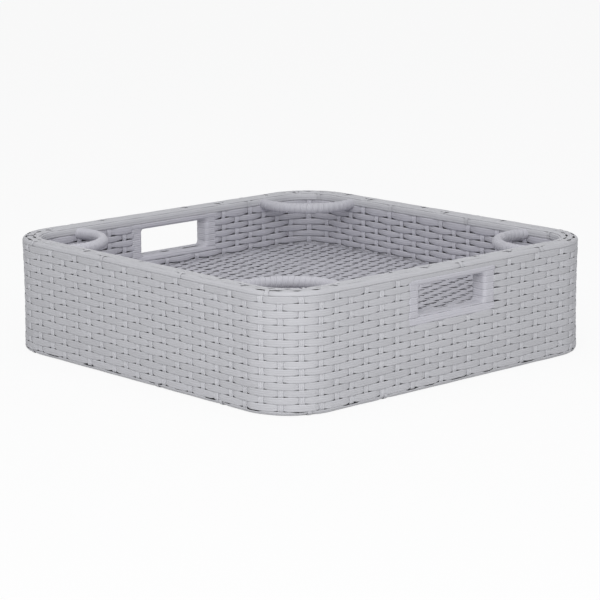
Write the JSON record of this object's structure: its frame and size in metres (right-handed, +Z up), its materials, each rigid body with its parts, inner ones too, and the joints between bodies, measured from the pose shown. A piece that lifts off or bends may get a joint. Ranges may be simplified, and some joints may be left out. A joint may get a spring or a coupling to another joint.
{
  "type": "floating pool tray",
  "caption": "Square woven serving tray that floats, with a raised floor, cup rings in its corners and a grip hole through each of two opposite walls.",
  "frame": {"origin": "on the ground under the middle of the tray", "axes": "+Z up, +X towards the wall with the right-hand grip hole, +Y towards the rear wall, which has no grip hole"},
  "size_m": [0.61, 0.61, 0.165],
  "materials": {
    "strand_outside": "matte woven synthetic rattan",
    "strand_inside": "matte woven synthetic rattan",
    "strand_wound": "matte wound synthetic rattan",
    "frame_tube": "mill finish tube",
    "foam": "closed-cell foam"
  },
  "bodies": {
    "root": {"top_rail": "frame_tube", "bottom_rail": "frame_tube", "floor_rail": "frame_tube", "front_left_post": "frame_tube", "front_right_post": "frame_tube", "rear_left_post": "frame_tube", "rear_right_post": "frame_tube", "front_post": "frame_tube", "rear_post": "frame_tube", "left_front_jamb": "frame_tube", "left_rear_jamb": "frame_tube", "right_front_jamb": "frame_tube", "right_rear_jamb": "frame_tube", "left_grip_bar": "frame_tube", "right_grip_bar": "frame_tube", "front_floor_bearer": "frame_tube", "middle_floor_bearer": "frame_tube", "rear_floor_bearer": "frame_tube", "front_base_bearer": "frame_tube", "middle_base_bearer": "frame_tube", "rear_base_bearer": "frame_tube", "foam_float": "foam", "outer_weave": "strand_outside", "inner_weave": "strand_inside", "rim_weave": "strand_outside", "floor_weave": "strand_inside", "base_edge": "strand_outside", "base_weave": "strand_outside", "left_grip_wrap": "strand_wound", "right_grip_wrap": "strand_wound", "front_left_ring": "frame_tube", "front_right_ring": "frame_tube", "rear_left_ring": "frame_tube", "rear_right_ring": "frame_tube", "front_left_ring_wrap": "strand_wound", "front_right_ring_wrap": "strand_wound", "rear_left_ring_wrap": "strand_wound", "rear_right_ring_wrap": "strand_wound"}
  },
  "joints": []
}
